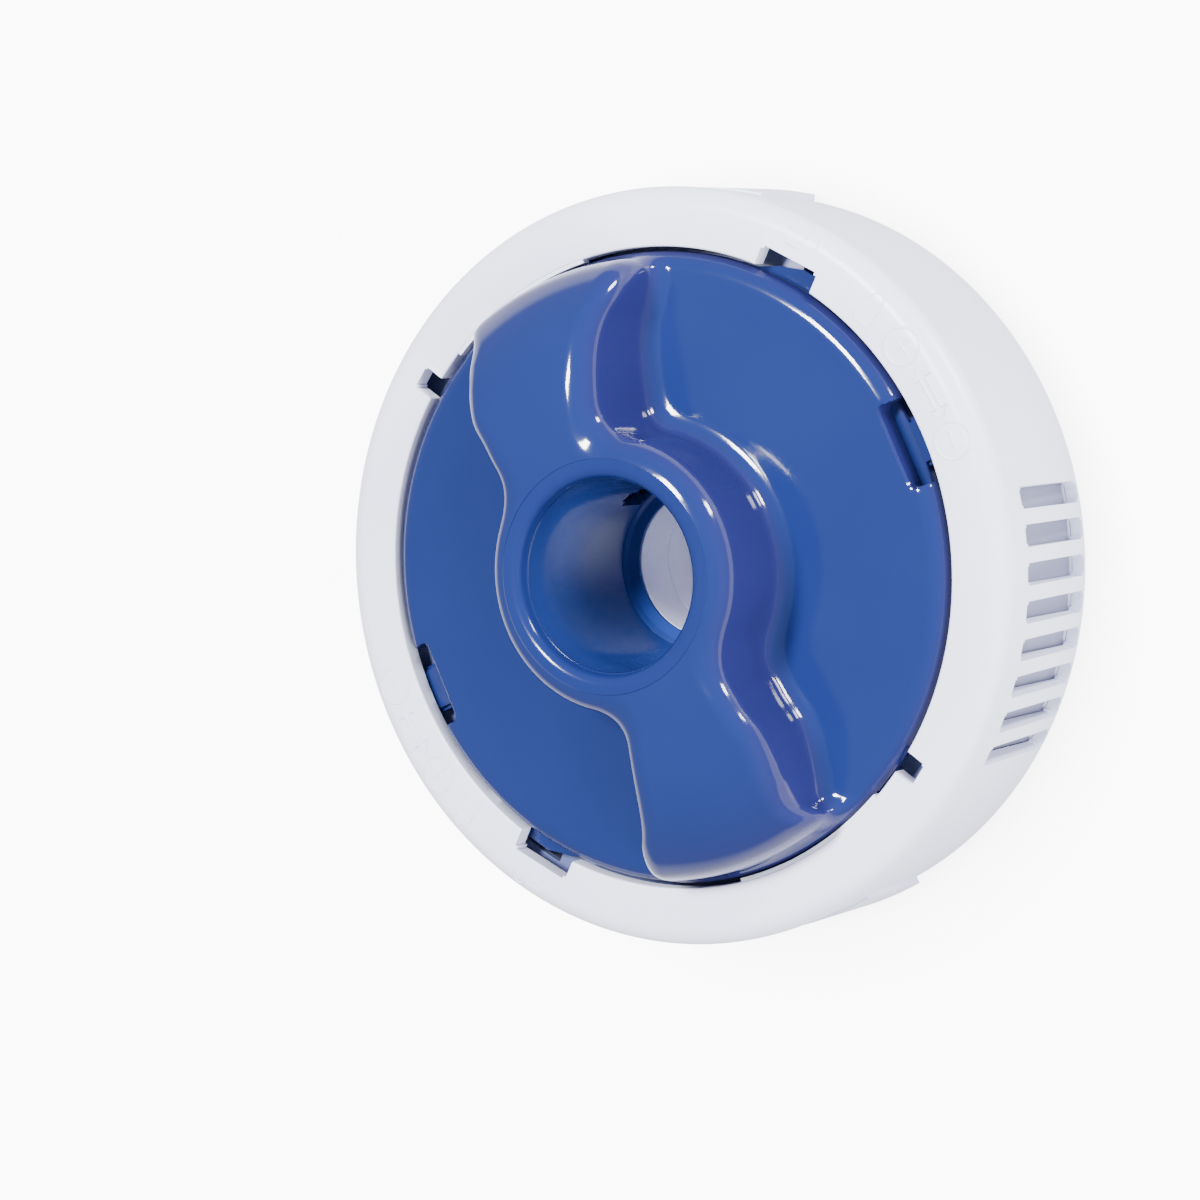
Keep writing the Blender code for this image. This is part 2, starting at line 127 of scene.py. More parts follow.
TABLET_ANGLES = (42.0, 74.0, 106.0, 138.0)
LEDGE_ANGLES, PAD_ANGLES, PAD_TOP = (114.0, 146.0), (86.8, 128.0), 27.0
MARK_RADIUS, RIDGE = 75.6, 0.27
GAP = 0.3
ROUND = 240


# ---------------------------------------------------------------- materials

def new_material(name):
    mat = bpy.data.materials.new(name)
    mat.use_nodes = True
    return mat, mat.node_tree.nodes, mat.node_tree.links, mat.node_tree.nodes["Principled BSDF"]


def noise(nodes, links, coords, scale, detail=3.0):
    texture = nodes.new("ShaderNodeTexNoise")
    texture.inputs["Scale"].default_value = scale
    texture.inputs["Detail"].default_value = detail
    links.new(coords.outputs["Object"], texture.inputs["Vector"])
    return texture


def ramp(nodes, links, source, stops):
    """Colour ramp from (position, colour) stops."""
    node = nodes.new("ShaderNodeValToRGB")
    elements = node.color_ramp.elements
    for element, (position, colour) in zip(elements, (stops[0], stops[-1])):
        element.position = position
        element.color = (*colour, 1.0)
    for position, colour in stops[1:-1]:
        element = elements.new(position)
        element.color = (*colour, 1.0)
    links.new(source, node.inputs["Fac"])
    return node


def grey_range(nodes, links, source, low, high):
    node = nodes.new("ShaderNodeMapRange")
    node.inputs["To Min"].default_value = low
    node.inputs["To Max"].default_value = high
    links.new(source, node.inputs["Value"])
    return node


def add_bump(nodes, links, shader, source, strength, distance):
    bump = nodes.new("ShaderNodeBump")
    bump.inputs["Strength"].default_value = strength
    bump.inputs["Distance"].default_value = distance
    links.new(source, bump.inputs["Height"])
    links.new(bump.outputs["Normal"], shader.inputs["Normal"])


def plastic(name, dark, light, rough, cloud_scale, grain, mirror=0.5, subsurface=0.0):
    """Injection-moulded plastic: cloudy colour, uneven gloss and a faint skin texture."""
    mat, nodes, links, shader = new_material(name)
    coords = nodes.new("ShaderNodeTexCoord")
    cloud = noise(nodes, links, coords, cloud_scale)
    colour = ramp(nodes, links, cloud.outputs["Fac"], [(0.3, dark), (0.7, light)])
    links.new(colour.outputs["Color"], shader.inputs["Base Color"])
    skin = noise(nodes, links, coords, 420.0, 2.0)
    gloss = grey_range(nodes, links, cloud.outputs["Fac"], rough[0], rough[1])
    links.new(gloss.outputs["Result"], shader.inputs["Roughness"])
    add_bump(nodes, links, shader, skin.outputs["Fac"], grain, 0.0002)
    shader.inputs["IOR"].default_value = 1.5
    shader.inputs["Specular IOR Level"].default_value = mirror
    shader.inputs["Subsurface Weight"].default_value = subsurface
    shader.inputs["Subsurface Radius"].default_value = (0.004, 0.004, 0.005)
    shader.inputs["Subsurface Scale"].default_value = 0.5
    return mat


def rubber_material():
    mat, nodes, links, shader = new_material("seal_rubber")
    coords = nodes.new("ShaderNodeTexCoord")
    dust = noise(nodes, links, coords, 260.0)
    stops = [(0.35, (0.012, 0.012, 0.014)), (0.75, (0.045, 0.045, 0.05))]
    colour = ramp(nodes, links, dust.outputs["Fac"], stops)
    links.new(colour.outputs["Color"], shader.inputs["Base Color"])
    shader.inputs["Roughness"].default_value = 0.62
    add_bump(nodes, links, shader, dust.outputs["Fac"], 0.25, 0.0003)
    return mat


def tablet_material():
    """Pressed chlorine: chalky white with fine pits."""
    mat, nodes, links, shader = new_material("chlorine_tablet")
    coords = nodes.new("ShaderNodeTexCoord")
    cloud = noise(nodes, links, coords, 90.0, 6.0)
    colour = ramp(nodes, links, cloud.outputs["Fac"], [(0.3, (0.74, 0.74, 0.70)), (0.7, (0.90, 0.90, 0.86))])
    links.new(colour.outputs["Color"], shader.inputs["Base Color"])
    pits = nodes.new("ShaderNodeTexVoronoi")
    pits.inputs["Scale"].default_value = 900.0
    links.new(coords.outputs["Object"], pits.inputs["Vector"])
    shader.inputs["Roughness"].default_value = 0.9
    add_bump(nodes, links, shader, pits.outputs["Distance"], 0.35, 0.0004)
    return mat


def graded(mat, output, start, end, colour):
    """Bring a second colour in as the Z part of a coordinate output goes from start to end."""
    nodes, links = mat.node_tree.nodes, mat.node_tree.links
    base = nodes["Principled BSDF"].inputs["Base Color"]
    split = nodes.new("ShaderNodeSeparateXYZ")
    links.new(nodes["Texture Coordinate"].outputs[output], split.inputs["Vector"])
    share = nodes.new("ShaderNodeMapRange")
    share.inputs["From Min"].default_value = start
    share.inputs["From Max"].default_value = end
    links.new(split.outputs["Z"], share.inputs["Value"])
    mix = nodes.new("ShaderNodeMix")
    mix.data_type = "RGBA"
    links.new(share.outputs["Result"], mix.inputs["Factor"])
    links.new(base.links[0].from_socket, mix.inputs["A"])
    mix.inputs["B"].default_value = (*colour, 1.0)
    links.new(mix.outputs["Result"], base)
    return mat


DARK_BLUE, LIGHT_BLUE = (0.0082, 0.0168, 0.0920), (0.0092, 0.0186, 0.0980)
# Blue plastic; faces that turn from up towards sideways or down take on a violet painted shade, set by the
# normal's Z from 0.95 to 0.35
BLUE_WITH_PAINTED_WALL_SHADE = graded(plastic("blue_plastic", DARK_BLUE, LIGHT_BLUE, (0.075, 0.105), 30.0, 0.015, 0.42),
              "Normal", 0.95, 0.35, (0.0150, 0.0168, 0.093))
# Copy of the blue with less mirror for the bore tube and throat step; from 67 mm down to 54 mm and below,
# its colour is lifted to a lighter blue, painted light in the shaded bore
BORE_BLUE_PAINTED_LIGHT = graded(plastic("blue_plastic_painted_bore_light", DARK_BLUE, LIGHT_BLUE, (0.12, 0.15), 30.0, 0.015, 0.26),
                   "Object", 0.067, 0.054, (0.0195, 0.046, 0.215))
WHITE = plastic("white_plastic", (0.735, 0.750, 0.91), (0.775, 0.790, 0.945), (0.30, 0.38), 26.0, 0.03,
                subsurface=0.05)
# Painted shade: the dosing skirt, tray and tube lock ring are the housing's white plastic, painted grey-blue
# as it looks in shade; from 32.5 to 34.5 mm up a darker blue painted shade comes in, on the skirt's top
# flange and on the lock ring above it
SHADED, LESS_SHADED = (0.19, 0.20, 0.29), (0.22, 0.23, 0.33)
INNER_WHITE_PAINTED_SHADE = graded(plastic("white_plastic_painted_shade", SHADED, LESS_SHADED, (0.34, 0.42), 26.0, 0.04),
                     "Object", 0.0325, 0.0345, (0.10, 0.12, 0.27))
RUBBER = rubber_material()
CHALK = tablet_material()


# ---------------------------------------------------------------- mesh helpers

def add_piece(name, bm, mat, body, slot, *replaced, sharp=38.0):
    """Finish a bmesh in millimetres as a shown piece in metres that rides on a body."""
    bmesh.ops.recalc_face_normals(bm, faces=bm.faces)
    obj = bare_object(name, bm)
    obj.data.materials.append(mat)
    obj.data.shade_smooth()
    obj.data.set_sharp_from_angle(angle=math.radians(sharp))
    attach(obj, body)
    if replaced:
        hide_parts(*replaced)
    return obj


def bare_object(name, bm):
    bmesh.ops.scale(bm, vec=(MM, MM, MM), verts=bm.verts)
    mesh = bpy.data.meshes.new(name)
    bm.to_mesh(mesh)
    bm.free()
    obj = bpy.data.objects.new(name, mesh)
    bpy.context.scene.collection.objects.link(obj)
    return obj


def arc(centre, radius, start, end, steps=6):
    turns = np.radians(np.linspace(start, end, steps + 1))
    return [(centre[0] + radius * math.cos(a), centre[1] + radius * math.sin(a)) for a in turns]


def softened(outline, radius=0.3, steps=3):
    """Round each corner of a closed (radius, height) outline with a small arc."""
    points = [Vector(p) for p in outline]
    result = []
    for i, corner in enumerate(points):
        before, after = points[i - 1] - corner, points[(i + 1) % len(points)] - corner
        reach = min(radius, 0.45 * before.length, 0.45 * after.length)
        turn = math.pi - before.angle(after)
        if turn < math.radians(25) or reach < 0.02 or corner.x == 0:
            result.append(tuple(corner))
            continue
        start, end = corner + before.normalized() * reach, corner + after.normalized() * reach
        for k in range(steps + 1):
            t = k / steps
            result.append(tuple(start * (1 - t) ** 2 + corner * (2 * t * (1 - t)) + end * t ** 2))
    return result


def turned(outline, segments=ROUND):
    """Spin a closed (radius, height) outline about Z."""
    bm = bmesh.new()
    verts = [bm.verts.new((r, 0, z)) for r, z in outline]
    edges = [bm.edges.new((verts[i - 1], verts[i])) for i in range(len(verts))]
    bmesh.ops.spin(bm, geom=verts + edges, cent=(0, 0, 0), axis=(0, 0, 1), angle=2 * math.pi,
                   steps=segments, use_merge=True)
    bmesh.ops.remove_doubles(bm, verts=bm.verts, dist=0.001)
    return bm


def rectangle(r_in, r_out, z_low, z_high):
    return [(r_out, z_high), (r_out, z_low), (r_in, z_low), (r_in, z_high)]


def both_sides(angle):
    return (angle, angle + HALF_TURN)


def add_block(bm, angle, r_range, width, z_range, corner=0.0, axis="Z"):
    """A box that points outwards at an angle; the edges that run along axis are rounded."""
    size = Vector((r_range[1] - r_range[0], width, z_range[1] - z_range[0]))
    centre = ((r_range[0] + r_range[1]) / 2, 0, (z_range[0] + z_range[1]) / 2)
    made = bmesh.ops.create_cube(bm, size=1.0, matrix=Matrix.Diagonal((*size, 1.0)))["verts"]
    if corner:
        index = "XYZ".index(axis)
        edges = {e for v in made for e in v.link_edges
                 if abs((e.verts[0].co - e.verts[1].co)[index]) > 0.9 * size[index]}
        rounded = bmesh.ops.bevel(bm, geom=list(edges), offset=corner, segments=4, affect="EDGES")
        made = list({v for f in rounded["faces"] for v in f.verts} | {v for v in made if v.is_valid})
    place = Matrix.Rotation(math.radians(angle), 4, "Z") @ Matrix.Translation(centre)
    bmesh.ops.transform(bm, matrix=place, verts=made)


def add_sector(bm, start, end, r_range, z_range, steps=24):
    """A curved block between two angles."""
    turns = np.linspace(start, end, steps + 1)
    add_prism(bm, [(r_range[1], a) for a in turns] + [(r_range[0], a) for a in reversed(turns)], z_range)


def add_prism(bm, plan, z_range):
    """An upright block over a closed plan of (radius, angle) points."""
    spots = [(r * math.cos(math.radians(a)), r * math.sin(math.radians(a))) for r, a in plan]
    face = bm.faces.new([bm.verts.new((x, y, z_range[0])) for x, y in spots])
    top = bmesh.ops.extrude_face_region(bm, geom=[face])["geom"]
    lifted = [item for item in top if isinstance(item, bmesh.types.BMVert)]
    bmesh.ops.translate(bm, vec=(0, 0, z_range[1] - z_range[0]), verts=lifted)


def apply_modifiers(obj):
    """Replace the mesh by its evaluated shape, so that no modifier is left."""
    graph = bpy.context.evaluated_depsgraph_get()
    mesh = bpy.data.meshes.new_from_object(obj.evaluated_get(graph))
    obj.modifiers.clear()
    obj.data = mesh


def boolean(obj, bm, operation="DIFFERENCE"):
    """Cut a bmesh in millimetres from an object in metres, or join it."""
    bmesh.ops.recalc_face_normals(bm, faces=bm.faces)
    cutter = bare_object("cutter", bm)
    modifier = obj.modifiers.new("boolean", "BOOLEAN")
    modifier.operation = operation
    modifier.object = cutter
    modifier.solver = "EXACT"
    apply_modifiers(obj)
    bpy.data.objects.remove(cutter)


def smooth(obj, sharp=38.0):
    obj.data.shade_smooth()
    obj.data.set_sharp_from_angle(angle=math.radians(sharp))


def soften_edges(obj, width, angle=40.0, segments=2):
    """Round the sharp edges that a cut has left."""
    bevel = obj.modifiers.new("edges", "BEVEL")
    bevel.width = width * MM
    bevel.segments = segments
    bevel.limit_method = "ANGLE"
    bevel.angle_limit = math.radians(angle)
    bevel.use_clamp_overlap = True
    bevel.harden_normals = False
    apply_modifiers(obj)


# ---------------------------------------------------------------- cap surface

def blend_curve(knots):
    """Smooth curve through (x, y) knots, with its slope."""
    xs, ys = np.array(knots, float).T
    slopes = np.gradient(ys, xs)

    def curve(x):
        x = np.clip(x, xs[0], xs[-1])
        i = np.clip(np.searchsorted(xs, x) - 1, 0, len(xs) - 2)
        width = xs[i + 1] - xs[i]
        t = (x - xs[i]) / width
        rise = ys[i + 1] - ys[i]
        a = slopes[i] * width - rise
        b = rise - slopes[i + 1] * width
        return ys[i] + t * rise + t * (1 - t) * (a * (1 - t) + b * t)

    return curve


leading_angle = blend_curve(LEADING_SIDE)
trailing_angle = blend_curve(TRAILING_SIDE)


def round_join(a, b, radius):
    """Union of two distance fields with a fillet of that radius."""
    inside = np.sqrt(np.maximum(radius - a, 0) ** 2 + np.maximum(radius - b, 0) ** 2)
    return np.maximum(np.minimum(a, b), radius) - inside


def round_cut(a, b, radius):
    """Intersection of two distance fields with a rounded edge of that radius."""
    return -round_join(-a, -b, radius)


def soft_join(a, b, reach):
    """Union of two distance fields with a long, flowing blend."""
    share = np.maximum(reach - np.abs(a - b), 0) / reach
    return np.minimum(a, b) - share * share * reach / 4


def side_distance(radius, angle, curve, sign):
    """Distance outside one side of a lobe, measured square to the side."""
    step = 0.5
    slope = np.radians(curve(radius + step) - curve(radius - step)) / (2 * step) * radius
    return sign * radius * np.radians(curve(radius) - angle) / np.sqrt(1 + slope ** 2)


def grip_field(x, y, z):
    """Distance field of the boss and the two lobes, solid and reaching down through the disc."""
    radius = np.hypot(x, y)
    angle = (np.degrees(np.arctan2(y, x)) - 30.0) % HALF_TURN + 30.0
    height = z - DISC_TOP
    lead = side_distance(radius, angle, leading_angle, 1.0)
    trail = side_distance(radius, angle, trailing_angle, -1.0)
    lead_wall = drafted(lead, height, LEADING_DRAFT)
    trail_wall = drafted(trail, height, TRAILING_DRAFT)
    boss_wall = drafted(radius - BOSS_RADIUS, height, BOSS_DRAFT)
    walls = soft_join(boss_wall, np.maximum(lead_wall, trail_wall), BOSS_BLEND)
    t = np.maximum(radius - LOBE_INNER, 0) / (LOBE_OUTER - LOBE_INNER)
    crown = LIP_TOP - CROWN_DROP - LOBE_EDGE
    s = np.maximum(z - LOBE_EDGE, 0) / crown
    steep = np.hypot(LOBE_POWER * t ** (LOBE_POWER - 1) / (LOBE_OUTER - LOBE_INNER), 2 * s / crown)
    top = (t ** LOBE_POWER + s * s - 1) / np.maximum(steep, LEAST_SLOPE)
    near_trail = (0.5 - 0.5 * np.tanh((lead - trail) / 6.0)) * np.exp(-(np.maximum(trail, 0) / 10.0) ** 2)
    return round_cut(walls, top, CREST_RADIUS - CREST_SHARPER * near_trail)


def drafted(distance, height, draft):
    tilt = math.radians(draft)
    return (distance + height * math.tan(tilt)) * math.cos(tilt)


def cap_field(x, y, z):
    """Distance field of the whole cap: disc, grip, the hollow under it and the two pockets."""
    radius = np.hypot(x, y)
    grip = grip_field(x, y, z)
    body = round_join(grip, z - DISC_TOP, FOOT_FILLET)
    body = round_cut(body, radius - DISC_RADIUS, EDGE_RADIUS)
    hollow = np.maximum(grip + GRIP_WALL, z - LEDGE_Z[0] - np.maximum(radius - HOLLOW_SHOULDER, 0))
    hollow = np.maximum(hollow, radius - HOLLOW_REACH)
    turn = math.radians(POCKET_ANGLE)
    along = np.abs(x * math.cos(turn) + y * math.sin(turn))
    across = np.abs(y * math.cos(turn) - x * math.sin(turn))
    pocket = round_cut(POCKET_RADIUS - along, across - POCKET_WIDTH / 2, POCKET_CORNER)
    return np.maximum(round_cut(body, -pocket, POCKET_EDGE), -hollow)


def surface_net(field, low, high, cell, turn):
    """Quad mesh of a field's zero surface, on a grid turned about Z. Returns points and quads."""
    axes = [np.arange(a, b + cell, cell) for a, b in zip(low, high)]
    gx, gy, gz = np.meshgrid(*axes, indexing="ij")
    c, s = math.cos(turn), math.sin(turn)
    value = field(gx * c - gy * s, gx * s + gy * c, gz)
    grid = (gx, gy, gz)
    shape = tuple(n - 1 for n in value.shape)
    total = [np.zeros(shape) for _ in range(3)]
    hits = np.zeros(shape)

    def corner(data, offset):
        return data[tuple(slice(o, o + n) for o, n in zip(offset, shape))]

    for axis in range(3):
        for first in (0, 1):
            for second in (0, 1):
                start = [first, second]
                start.insert(axis, 0)
                end = list(start)
                end[axis] = 1
                a, b = corner(value, start), corner(value, end)
                crossed = (a < 0) != (b < 0)
                share = np.where(crossed, a / np.where(crossed, a - b, 1.0), 0.0)
                for k in range(3):
                    p, q = corner(grid[k], start), corner(grid[k], end)
                    total[k] += np.where(crossed, p + (q - p) * share, 0.0)
                hits += crossed
    active = hits > 0
    number = np.full(shape, -1)
    number[active] = np.arange(active.sum())
    px, py, pz = (part[active] / hits[active] for part in total)
    points = np.stack([px * c - py * s, px * s + py * c, pz], 1)
    quads = []
    inside = value < 0
    for axis in range(3):
        ahead = [slice(1, -1)] * 3
        ahead[axis] = slice(0, -1)
        beyond = list(ahead)
        beyond[axis] = slice(1, None)
        here, there = inside[tuple(ahead)], inside[tuple(beyond)]
        index = np.argwhere(here != there)
        leaving = here[tuple(index.T)]
        index += 1
        index[:, axis] -= 1
        u, v = [(1, 2), (2, 0), (0, 1)][axis]
        cells = []
        for du, dv in ((-1, -1), (0, -1), (0, 0), (-1, 0)):
            cell_index = index.copy()
            cell_index[:, u] += du
            cell_index[:, v] += dv
            cells.append(number[tuple(cell_index.T)])
        quad = np.stack(cells, 1)
        quads.append(np.where(leaving[:, None], quad, quad[:, ::-1]))
    return points, np.concatenate(quads)


def gradient(field, points):
    step = 0.02
    parts = []
    for axis in range(3):
        shift = np.zeros(3)
        shift[axis] = step
        parts.append((field(*(points + shift).T) - field(*(points - shift).T)) / (2 * step))
    return np.stack(parts, 1)


def settle(field, points, quads, rounds):
    """Spread the points evenly along the surface and bring them back onto it."""
    edges = np.concatenate([quads[:, [i, (i + 1) % 4]] for i in range(4)])
    count = np.bincount(edges.ravel(), minlength=len(points))[:, None]
    for step in range(rounds):
        slope = gradient(field, points)
        length = np.maximum(np.linalg.norm(slope, axis=1, keepdims=True), 0.2)
        offset = field(*points.T)[:, None] / length
        points = points - np.clip(offset, -0.3, 0.3) * slope / length
        if step < rounds - 2:
            mean = np.zeros_like(points)
            for k in range(3):
                mean[:, k] = np.bincount(edges[:, 0], points[edges[:, 1], k], len(points))
                mean[:, k] += np.bincount(edges[:, 1], points[edges[:, 0], k], len(points))
            move = mean / count - points
            normal = slope / length
            move -= (move * normal).sum(1, keepdims=True) * normal
            points = points + 0.5 * move
    return points


def make_cap():
    cell = FINE_CELL
    low, high = (-70.0, -70.0, DISC_BOTTOM - 1.7), (70.0, 70.0, LIP_TOP + 1.5)
    points, quads = surface_net(cap_field, low, high, cell, math.radians(POCKET_ANGLE))
    points = settle(cap_field, points, quads, SETTLE_ROUNDS)
    mesh = bpy.data.meshes.new("cap_net")
    mesh.from_pydata(points.tolist(), [], quads.tolist())
    bm = bmesh.new()
    bm.from_mesh(mesh)
    bpy.data.meshes.remove(mesh)
    geometry = bm.verts[:] + bm.edges[:] + bm.faces[:]
    bmesh.ops.bisect_plane(bm, geom=geometry, plane_co=(0, 0, DISC_BOTTOM), plane_no=(0, 0, -1),
                           clear_outer=True)
    rims = [e for e in bm.edges if e.is_boundary]
    bmesh.ops.triangle_fill(bm, edges=rims, use_beauty=True, normal=(0, 0, -1))
    cap = add_piece("cap_shell", bm, BLUE_WITH_PAINTED_WALL_SHADE, "cap_body", "blue_plastic", "cap")
    seat = LIP_RADIUS + 0.03
    above, below = LIP_TOP + 3, LEDGE_Z[0] - 6
    plug = [(seat, above), (seat, LEDGE_Z[1]), (LEDGE_RADIUS, LEDGE_Z[1]), (LEDGE_RADIUS, below)]
    boolean(cap, turned(plug + [(0, below), (0, above)]))
    smooth(cap, 34.0)
    return cap


# ---------------------------------------------------------------- bore

def make_throat():
    foot = TUBE_BOTTOM + 1.5
    lip = [(LIP_RADIUS, LIP_TOP - 0.12), (LIP_RADIUS - 0.15, LIP_TOP)]
    mouth = arc((MOUTH_RADIUS + 2.2, LIP_TOP - 2.2), 2.2, 90, 180, 10)
    outline = lip + [(LIP_RADIUS - 1.0, LIP_TOP)] + mouth
    outline += [(20.2, 62.5), (19.6, 56.0), (19.1, 46.0), (TUBE_RADIUS, TUBE_BOTTOM)]
    outline += [(BUSH_RADIUS - 0.4, TUBE_BOTTOM), (BUSH_RADIUS - 0.4, foot), (TUBE_OUTER, foot)]
    outline += [(TUBE_OUTER, LEDGE_Z[1] + GAP), (LIP_RADIUS, LEDGE_Z[1] + GAP)]
    tube = add_piece("bore_tube", turned(outline), BORE_BLUE_PAINTED_LIGHT, "cap_body", "blue_plastic", "throat_tube")
    ports = bmesh.new()
    across, heights = (TUBE_RADIUS - 4, BUSH_RADIUS + 2), (TUBE_BOTTOM - 1, PORT_TOP)
    for angle in both_sides(PORT_ANGLE):
        add_block(ports, angle, across, PORT_WIDTH, heights, 1.4, "X")
    boolean(tube, ports)
    smooth(tube)
    ring_z = LEDGE_Z[0] - GAP
    outline = softened(rectangle(TUBE_OUTER + GAP, LIP_RADIUS - 0.2, ring_z - 2.8, ring_z))
    clip = add_piece("tube_lock_ring", turned(outline), INNER_WHITE_PAINTED_SHADE, "cap_body", "white_plastic",
                     "tube_retaining_ring")
    split = bmesh.new()
    add_block(split, 45.0, (TUBE_RADIUS, LIP_RADIUS + 2), 4.0, (ring_z - 4, ring_z + 1))
    boolean(clip, split)
    smooth(clip)


def make_bush():
    seat_radius, seat = TUBE_RADIUS + 1.6, BUSH_TOP - 1.2
    skirt_bottom, skirt_inner = GROOVE_Z[0] - 2, HUB_RADIUS + 0.5
    outline = [(seat_radius, BUSH_TOP), (seat_radius, seat), (BUSH_RADIUS, seat)]
    outline += [(BUSH_RADIUS, skirt_bottom), (skirt_inner, skirt_bottom), (skirt_inner, HUB_TOP + GAP)]
    outline += [(BORE_RADIUS, HUB_TOP + GAP), (BORE_RADIUS + 0.1, HUB_TOP + 0.9)]
    outline += [(TUBE_RADIUS - 0.7, BUSH_TOP - 1.4), (TUBE_RADIUS, BUSH_TOP)]
    add_piece("throat_step", turned(softened(outline, 0.25)), BORE_BLUE_PAINTED_LIGHT, "housing", "blue_plastic",
              "throat_bush")
    middle = ((GROOVE_RADIUS + skirt_inner) / 2, sum(GROOVE_Z) / 2)
    add_piece("hub_seal", turned(arc(middle, 0.75, 0, -345, 23)), RUBBER, "housing", "seal_rubber",
              "hub_o_ring")
    outline = rectangle(seat_radius + 0.4, BUSH_RADIUS - 0.4, seat + GAP, BUSH_TOP)
    add_piece("tube_washer", turned(softened(outline, 0.2)), RUBBER, "housing", "seal_rubber", "tube_seal")


# ---------------------------------------------------------------- housing

def rim_height(radius):
    """Height of the rim's face, which rolls over into the barrel."""
    over = max(0.0, radius - (RIM_RADIUS - RIM_FILLET))
    return DEPTH - RIM_FILLET + math.sqrt(max(RIM_FILLET ** 2 - over ** 2, 0.0))


def make_shell():
    outline = arc((RIM_RADIUS - RIM_FILLET, DEPTH - RIM_FILLET), RIM_FILLET, 90, 0, 14)
    outline += arc((REAR_RADIUS - REAR_FILLET, REAR_FILLET), REAR_FILLET, 0, -90, 8)
    outline += [(BARREL_INNER, 0), (BARREL_INNER, DEPTH - RIM_PLATE), (RIM_HOLE_RADIUS, DEPTH - RIM_PLATE)]
    outline += arc((RIM_HOLE_RADIUS + 0.5, DEPTH - 0.5), 0.5, 180, 90, 5)
    shell = add_piece("housing", turned(outline, 360), WHITE, "housing", "white_plastic", "housing_shell")
    vents = bmesh.new()
    for bank in both_sides(0.0):
        for index in range(VENT_COUNT):
            angle = bank + (index - (VENT_COUNT - 1) / 2) * VENT_PITCH
            add_block(vents, angle, (BARREL_INNER - 4, RIM_RADIUS + 4), VENT_WIDTH, VENT_Z, 0.7, "X")
    boolean(shell, vents)
    notches = bmesh.new()
    heights = (DEPTH - RIM_PLATE - 1, DEPTH + 1)
    for angle in both_sides(ENTRY_ANGLE):
        add_block(notches, angle, (RIM_HOLE_RADIUS - 4, ENTRY_RADIUS), ENTRY_WIDTH, heights, 0.7)
    for angle in both_sides(NARROW_ANGLE):
        add_block(notches, angle, (RIM_HOLE_RADIUS - 4, NARROW_RADIUS), NARROW_WIDTH, heights, 0.5)
    boolean(shell, notches)
    extras = bmesh.new()
    ledge_reach, ledge_z = (DISC_RADIUS + 0.3, RIM_HOLE_RADIUS + 0.4), (DEPTH - 2.6, DEPTH - 0.15)
    for half in (0.0, HALF_TURN):
        start, end = (turn + half for turn in LEDGE_ANGLES)
        add_sector(extras, start, end, ledge_reach, ledge_z)
        start, end = (turn + half for turn in PAD_ANGLES)
        add_sector(extras, start, end, (REAR_RADIUS - 2, RIM_RADIUS - 0.05), (REAR_FILLET, PAD_TOP), 40)
    boolean(shell, extras, "UNION")
    soften_edges(shell, 0.25)
    smooth(shell, 30.0)


def add_ridge(bm, strokes, radius=RIDGE):
    """Half-sunk round ridges on the rim; each stroke is a list of (radius, angle) points."""
    for stroke in strokes:
        spots = []
        for r, angle in stroke:
            turn_by = math.radians(angle)
            spots.append(Vector((r * math.cos(turn_by), r * math.sin(turn_by), rim_height(r) - 0.06)))
        closed = (spots[0] - spots[-1]).length < 0.01
        if closed:
            spots.pop()
        rings = []
        for i, spot in enumerate(spots):
            before = spots[i - 1] if closed or i else spot
            after = spots[(i + 1) % len(spots)] if closed or i < len(spots) - 1 else spot
            along = (after - before).normalized()
            side = along.cross(Vector((0, 0, 1))).normalized()
            lift = side.cross(along)
            turns = [2 * math.pi * k / 8 for k in range(8)]
            spokes = [side * math.cos(a) + lift * math.sin(a) for a in turns]
            rings.append([bm.verts.new(spot + spoke * radius) for spoke in spokes])
        pairs = list(zip(rings, rings[1:])) + ([(rings[-1], rings[0])] if closed else [])
        for ring, following in pairs:
            for k in range(8):
                bm.faces.new((ring[k - 1], ring[k], following[k], following[k - 1]))
        if not closed:
            bm.faces.new(rings[0])
            bm.faces.new(reversed(rings[-1]))


def mark(angle, stroke, centre=MARK_RADIUS):
    """Turn (outward, anticlockwise) offsets from a mark's centre into (radius, angle) points."""
    return [(centre + u, angle + math.degrees(v / centre)) for u, v in stroke]


